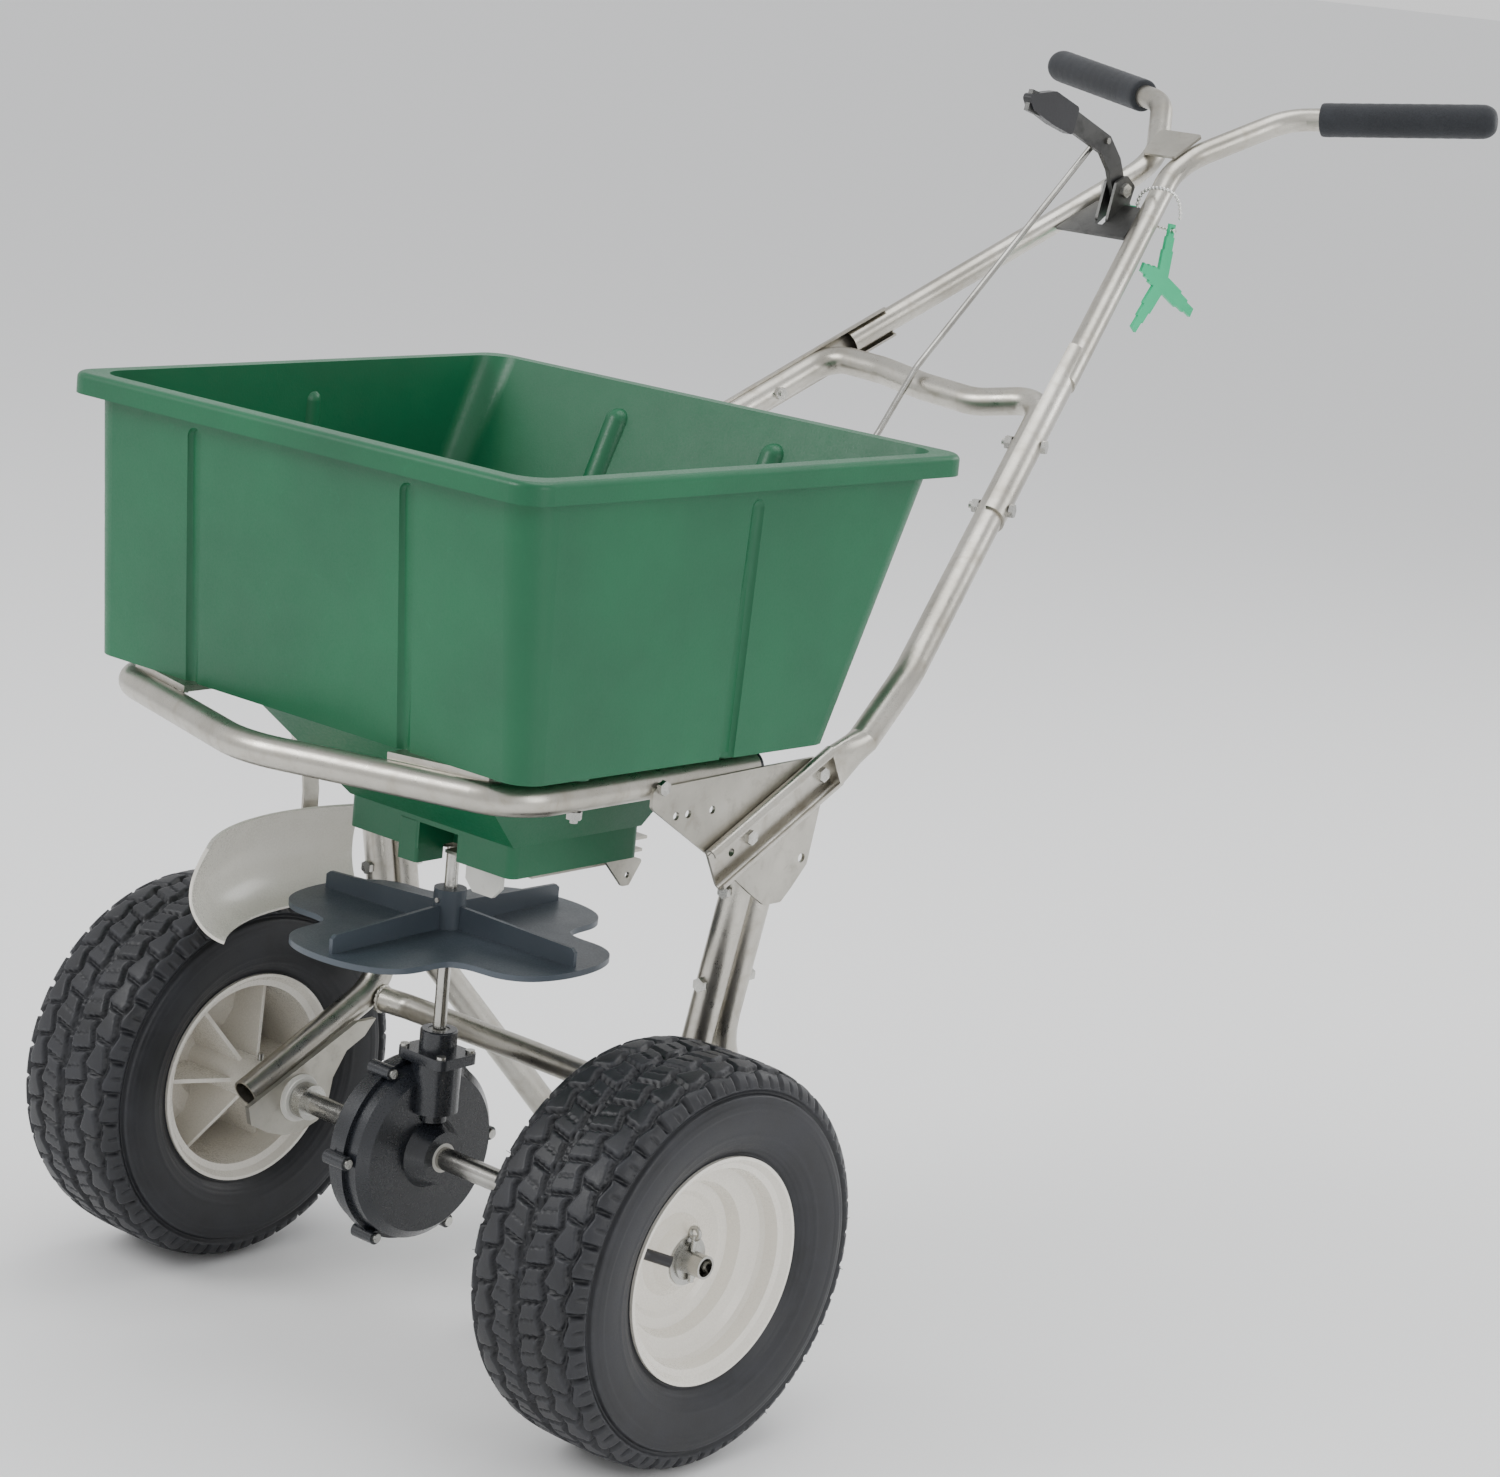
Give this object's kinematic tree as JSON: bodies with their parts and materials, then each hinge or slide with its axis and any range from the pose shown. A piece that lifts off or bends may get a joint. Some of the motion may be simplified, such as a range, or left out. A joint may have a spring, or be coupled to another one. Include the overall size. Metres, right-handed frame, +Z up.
{
  "type": "broadcast spreader",
  "caption": "Push broadcast spreader: open hopper on a bent-tube frame, pneumatic wheels, a gearbox-driven impeller, and a handle lever that works the shutter.",
  "frame": {"origin": "on the ground at the centre of the whole machine's box, between the wheels and the handle", "axes": "+Z up, +Y back towards the handle, +X the machine's left; it is pushed towards -Y"},
  "size_m": [0.675, 1.3009, 1.0822],
  "materials": {
    "frame_steel": "satin nickel-like plated tube, fine lengthwise brushing",
    "plate_steel": "pressed plate, dull zinc",
    "zinc_fasteners": "bright zinc",
    "dark_steel": "dark powder coat",
    "rod_wire": "bright drawn wire",
    "chain_metal": "nickel beads",
    "green_plastic": "rotomoulded polyethylene, slightly waxy",
    "cream_plastic": "injection moulded, semi gloss",
    "grey_plastic": "injection moulded, satin",
    "black_plastic": "glossy glass-filled nylon",
    "white_nylon": "natural nylon",
    "mint_plastic": "moulded, satin",
    "black_vinyl": "dipped vinyl",
    "black_foam": "closed-cell foam, fine pores",
    "tyre_rubber": "black rubber, dry"
  },
  "bodies": {
    "frame": {"axle_bearings": "white_nylon", "axle_leg_left": "frame_steel", "axle_leg_right": "frame_steel", "bead_chain": "chain_metal", "bearing_plate_left": "plate_steel", "bearing_plate_right": "plate_steel", "calibration_key": "mint_plastic", "cross_brace": "frame_steel", "deflector_bracket": "plate_steel", "deflector_screws": "zinc_fasteners", "frame_bolts": "zinc_fasteners", "gate_bracket": "plate_steel", "gate_guide": "plate_steel", "gearbox_bushes": "white_nylon", "gearbox_cap": "black_plastic", "gearbox_half_left": "black_plastic", "gearbox_half_right": "black_plastic", "gearbox_screws": "zinc_fasteners", "gusset_plate_left": "plate_steel", "gusset_plate_right": "plate_steel", "handle_grips": "black_foam", "hoop_tube": "frame_steel", "hopper": "green_plastic", "hopper_tabs": "frame_steel", "lever_bolt": "zinc_fasteners", "lever_bracket": "dark_steel", "lock_nuts": "zinc_fasteners", "lower_handle": "frame_steel", "rate_stop": "mint_plastic", "saddle_plate": "plate_steel", "shaft_bush_lower": "white_nylon", "shaft_bush_upper": "white_nylon", "side_deflector": "cream_plastic", "stand": "frame_steel", "tube_plugs": "black_plastic", "upper_handle_left": "frame_steel", "upper_handle_right": "frame_steel"},
    "drive_axle": {"axle": "rod_wire", "crown_gear": "white_nylon", "drive_pin": "zinc_fasteners", "wheel_rim_right": "cream_plastic", "tyre_right": "tyre_rubber", "valve_stem_right": "black_vinyl", "wheel_bushes_right": "white_nylon", "axle_collars": "zinc_fasteners", "axle_washers": "zinc_fasteners", "cotter_pins": "zinc_fasteners"},
    "free_wheel": {"wheel_rim_left": "cream_plastic", "tyre_left": "tyre_rubber", "valve_stem_left": "black_vinyl", "wheel_bushes_left": "white_nylon"},
    "spinner": {"impeller": "grey_plastic", "impeller_shaft": "rod_wire", "pinion_gear": "white_nylon", "shaft_pins": "zinc_fasteners"},
    "lever": {"control_lever": "dark_steel", "lever_sleeve": "black_vinyl"},
    "rod": {"control_rod": "rod_wire"},
    "shutter": {"shutter_plate": "plate_steel", "shutter_tab": "white_nylon"}
  },
  "joints": [
    {"name": "axle_spin", "type": "hinge", "parent": "frame", "child": "drive_axle", "pos_m": [0, -0.41351, 0.165], "axis": [1, 0, 0], "continuous": true},
    {"name": "left_wheel_spin", "type": "hinge", "parent": "frame", "child": "free_wheel", "pos_m": [0.274, -0.41351, 0.165], "axis": [1, 0, 0], "continuous": true},
    {"name": "impeller_spin", "type": "hinge", "parent": "frame", "child": "spinner", "pos_m": [0.005, -0.41351, 0.3], "axis": [0, 0, 1], "continuous": true},
    {"name": "lever_swing", "type": "hinge", "parent": "frame", "child": "lever", "pos_m": [0, 0.40449, 0.968], "axis": [-1, 0, 0], "range_deg": [-35, 0]},
    {"name": "rod_swing", "type": "hinge", "parent": "lever", "child": "rod", "pos_m": [0, 0.37549, 1.014], "axis": [-1, 0, 0], "range_deg": [0, 38]},
    {"name": "shutter_slide", "type": "slide", "parent": "frame", "child": "shutter", "axis": [0, 1, 0], "range_m": [-0.043, 0]}
  ],
  "couplings": [
    {"joint": "impeller_spin", "follows": "axle_spin", "ratio": 4.8},
    {"joint": "rod_swing", "follows": "lever_swing", "ratio": -1.062},
    {"joint": "shutter_slide", "follows": "lever_swing", "m_per_rad": 0.06843}
  ]
}
